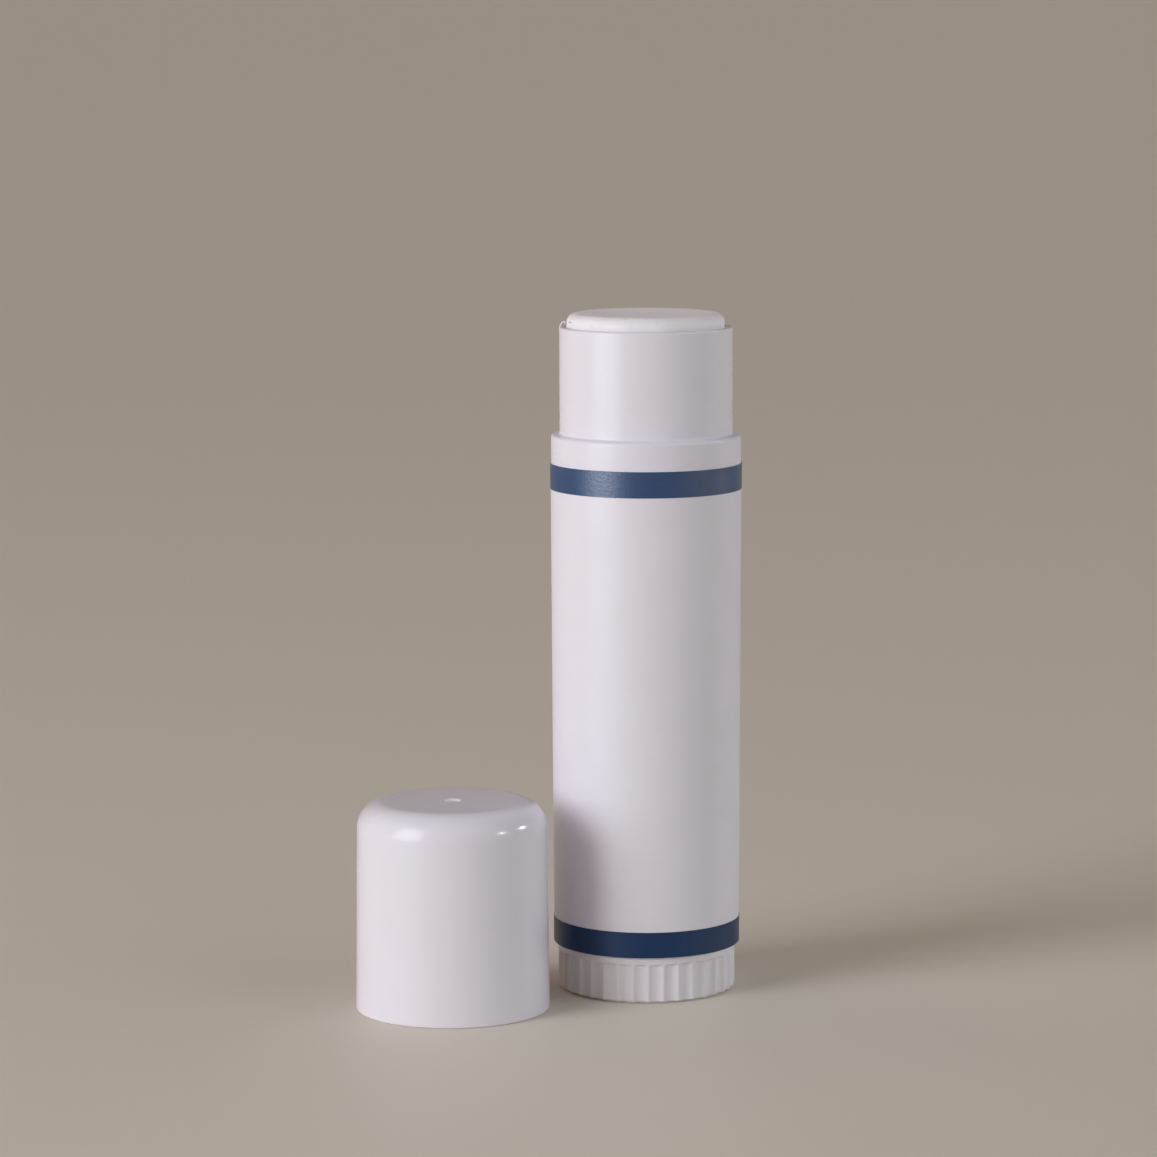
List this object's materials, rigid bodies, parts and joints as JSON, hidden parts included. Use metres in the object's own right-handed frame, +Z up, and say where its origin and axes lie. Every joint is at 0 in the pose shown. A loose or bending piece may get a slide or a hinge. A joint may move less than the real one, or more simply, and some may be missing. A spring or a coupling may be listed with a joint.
{
  "type": "twist-up sunscreen stick",
  "caption": "Round twist-up stick of solid sunscreen: white tube with a fluted turning base, an inner screw and carrier, and its pull-off cap stood beside it.",
  "frame": {"origin": "middle of the turning base's foot, on the surface that the stick stands on", "axes": "+Z up the stick's axis; +Y away from the picture's viewer, so the cap stands at -X and -Y and the label's overlap is at +Y"},
  "size_m": [0.0447, 0.0332, 0.0791],
  "materials": {
    "white_moulding": "satin white polypropylene",
    "cap_moulding": "glossy white polypropylene",
    "base_moulding": "satin white polypropylene",
    "inner_moulding": "natural white polypropylene",
    "label_film": "white film with a satin varnish",
    "blue_print": "denim blue ink on white film",
    "product": "opaque white wax, smooth and matte"
  },
  "bodies": {
    "barrel": {"barrel": "white_moulding", "label": "label_film", "label_band_upper": "blue_print", "label_band_lower": "blue_print"},
    "twist_base": {"twist_base": "base_moulding"},
    "carrier": {"carrier": "inner_moulding", "product": "product"},
    "cap": {"cap": "cap_moulding"}
  },
  "joints": [
    {"name": "base_turn", "type": "hinge", "parent": "barrel", "child": "twist_base", "pos_m": [0, 0, 0], "axis": [0, 0, 1], "range_deg": [-234, 4680]},
    {"name": "carrier_lift", "type": "slide", "parent": "barrel", "child": "carrier", "axis": [0, 0, 1], "range_m": [-0.0026, 0.052]},
    {"name": "cap_lift", "type": "slide", "parent": "barrel", "child": "cap", "axis": [0, 0, 1], "range_m": [0, 0.1]}
  ],
  "couplings": [
    {"joint": "base_turn", "follows": "carrier_lift", "rad_per_m": 1570.8}
  ]
}
